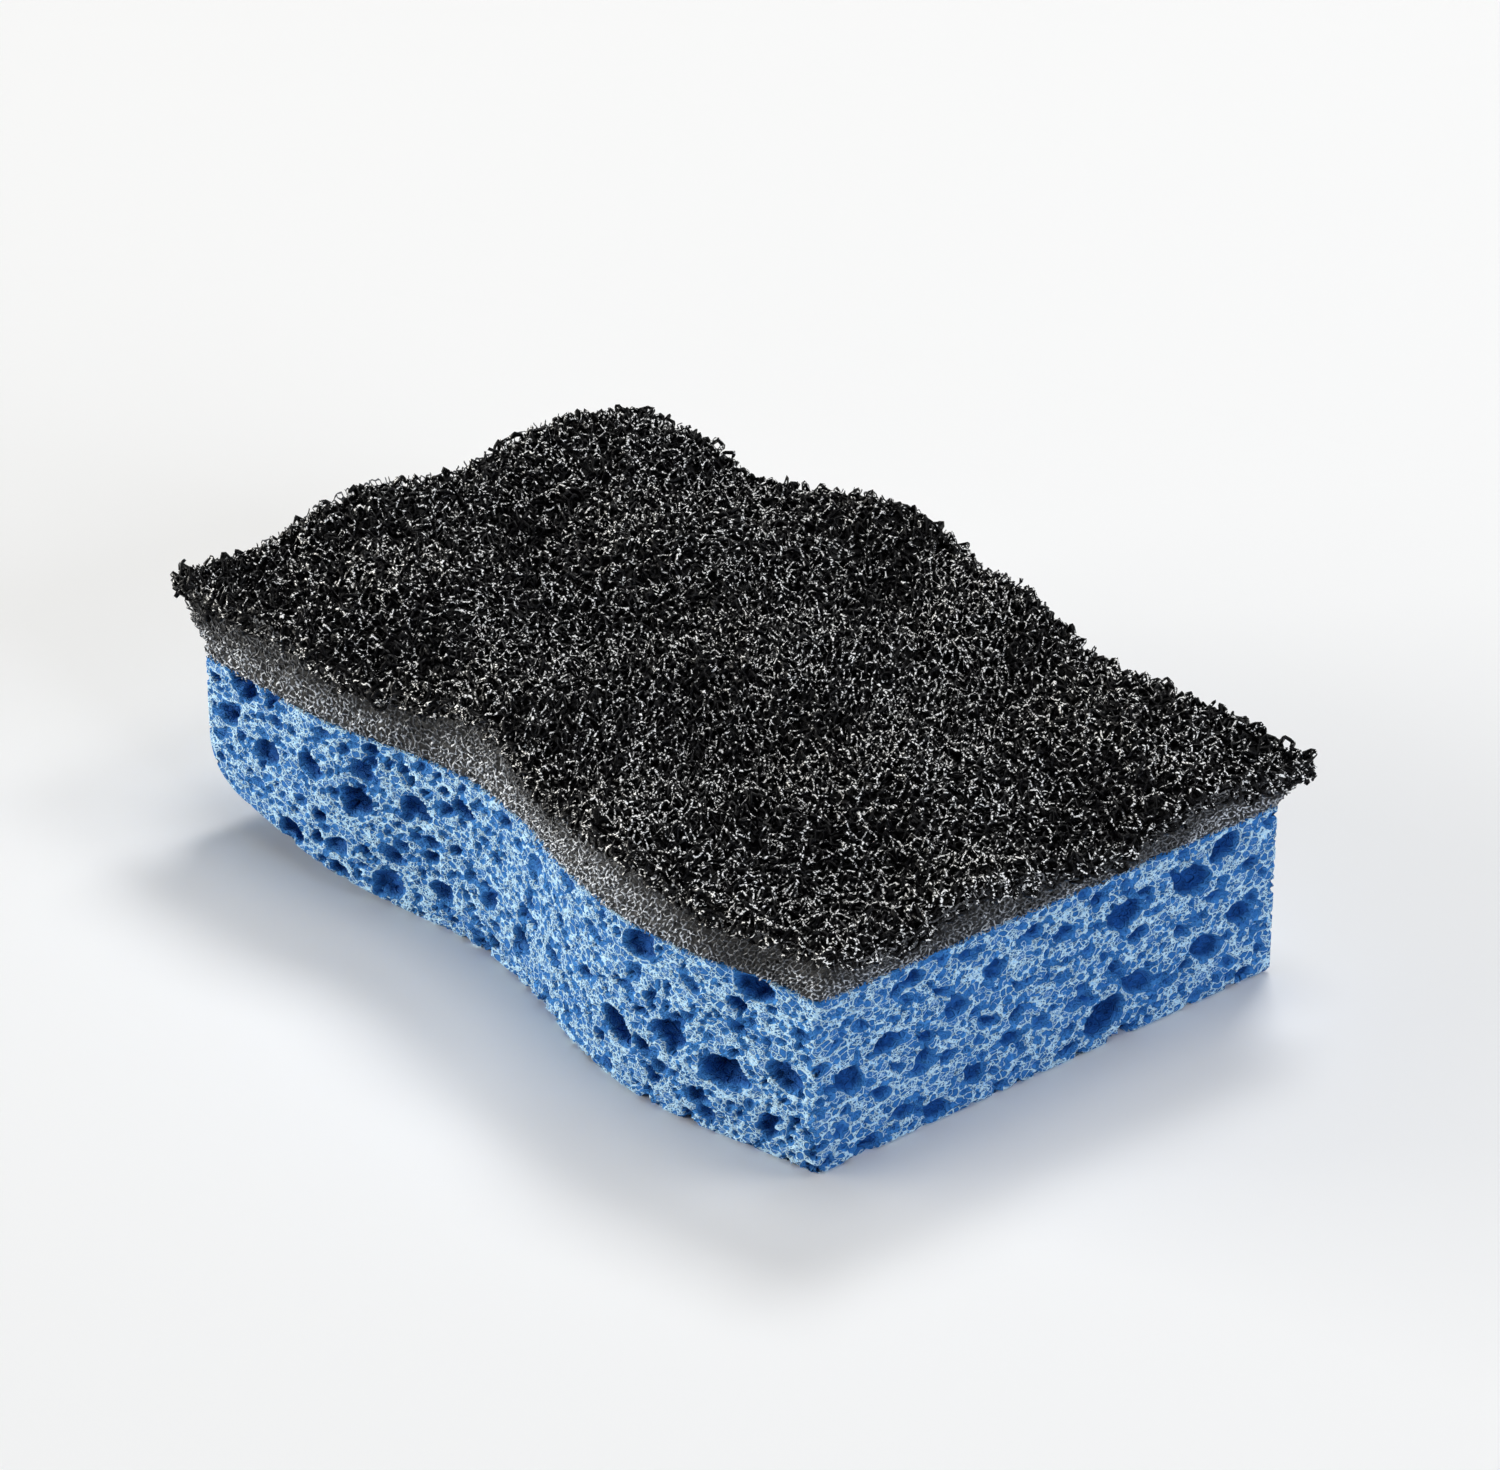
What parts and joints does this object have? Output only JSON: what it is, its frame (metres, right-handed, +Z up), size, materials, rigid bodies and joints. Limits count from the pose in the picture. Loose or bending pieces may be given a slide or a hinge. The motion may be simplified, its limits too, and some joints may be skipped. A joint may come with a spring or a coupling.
{
  "type": "cleaning sponge",
  "caption": "Scouring sponge: a wavy-sided cellulose sponge block with a foam pad on top and a rippled abrasive crust for scrubbing.",
  "frame": {"origin": "centre of the underside's bounding rectangle, on the surface that the sponge rests on", "axes": "+X along the sponge's long direction, towards the end that is nearer in the picture; +Y across it, towards the far wavy side; +Z up, towards the scouring crust"},
  "size_m": [0.121, 0.081, 0.0366],
  "materials": {
    "cellulose_sponge": "blue regenerated cellulose sponge with open pores, matt",
    "grey_foam": "grey fine open-cell polyurethane foam, matt",
    "black_grit": "black resin and grit crust, rough, with small bright glints"
  },
  "bodies": {
    "root": {"sponge_block": "cellulose_sponge", "foam_pad": "grey_foam", "grit_coat": "black_grit"}
  },
  "joints": []
}
